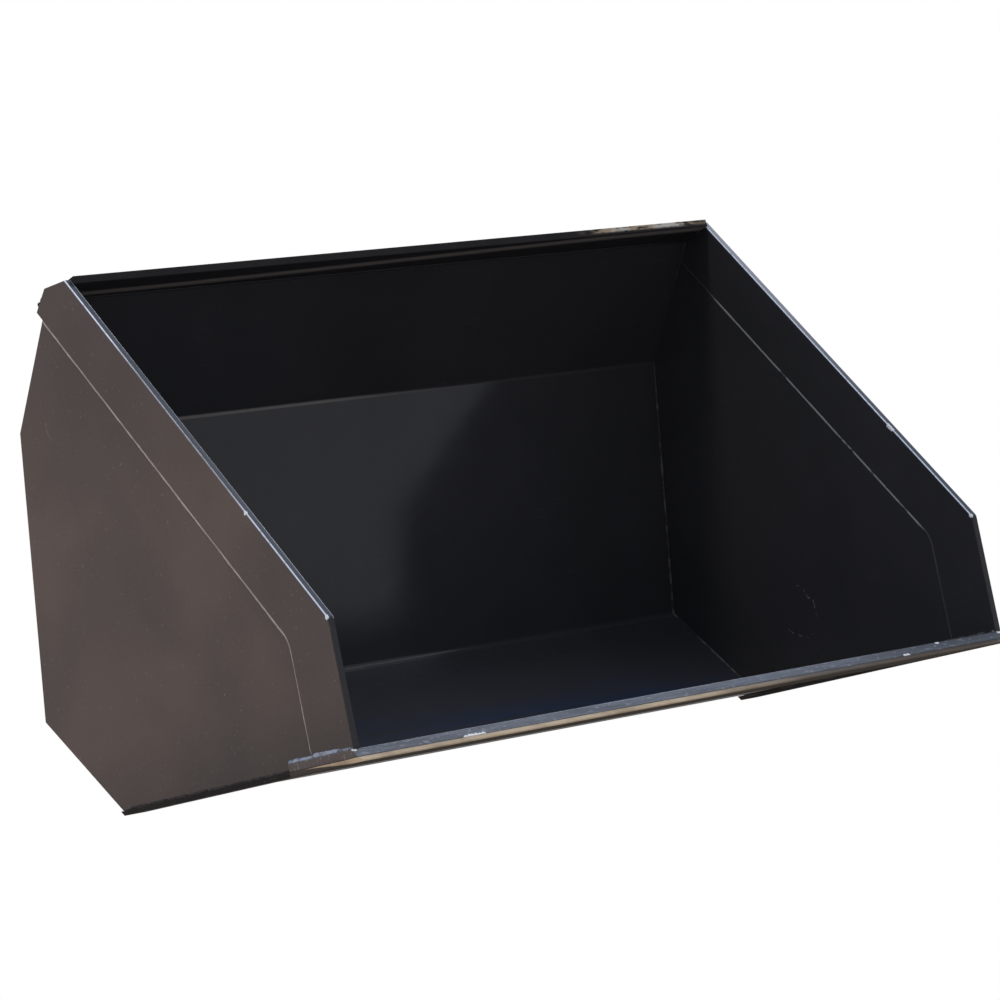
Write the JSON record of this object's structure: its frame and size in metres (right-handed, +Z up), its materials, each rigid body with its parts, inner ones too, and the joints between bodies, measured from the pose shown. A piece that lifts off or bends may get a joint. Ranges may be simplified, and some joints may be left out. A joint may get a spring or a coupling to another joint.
{
  "type": "skid steer bucket",
  "caption": "Open-mouthed welded steel loader bucket with sloped sides, a bevelled cutting edge, a top lip bar and a universal quick attach mount on its back.",
  "frame": {"origin": "bottom centre of the bucket's box, on the plane that its runners and cutting edge rest on", "axes": "+X across the bucket, -Y out of its mouth, +Z up"},
  "size_m": [1.6824, 1.0592, 1.0256],
  "materials": {
    "gloss_black_paint": "gloss black enamel over mill plate, scuffed",
    "satin_black_paint": "black enamel, duller and dusty, chipped at the edges",
    "worn_edge_steel": "black paint worn off to dusty tan steel along the leading edge"
  },
  "bodies": {
    "root": {"wrapper": "gloss_black_paint", "side_plate_left": "gloss_black_paint", "side_plate_right": "gloss_black_paint", "side_cutter_left": "gloss_black_paint", "side_cutter_right": "gloss_black_paint", "top_lip_bar": "gloss_black_paint", "base_edge": "gloss_black_paint", "side_runner_left": "satin_black_paint", "side_runner_right": "satin_black_paint", "quick_attach_plate": "satin_black_paint", "quick_attach_top_rail": "satin_black_paint", "quick_attach_bottom_rail": "satin_black_paint", "quick_attach_end_left": "satin_black_paint", "quick_attach_end_right": "satin_black_paint", "back_rib_1": "satin_black_paint", "back_rib_2": "satin_black_paint", "back_rib_3": "satin_black_paint", "back_rib_4": "satin_black_paint", "heel_gusset_1": "satin_black_paint", "heel_gusset_2": "satin_black_paint", "heel_gusset_3": "satin_black_paint", "heel_gusset_4": "satin_black_paint", "cutting_edge": "worn_edge_steel"}
  },
  "joints": []
}
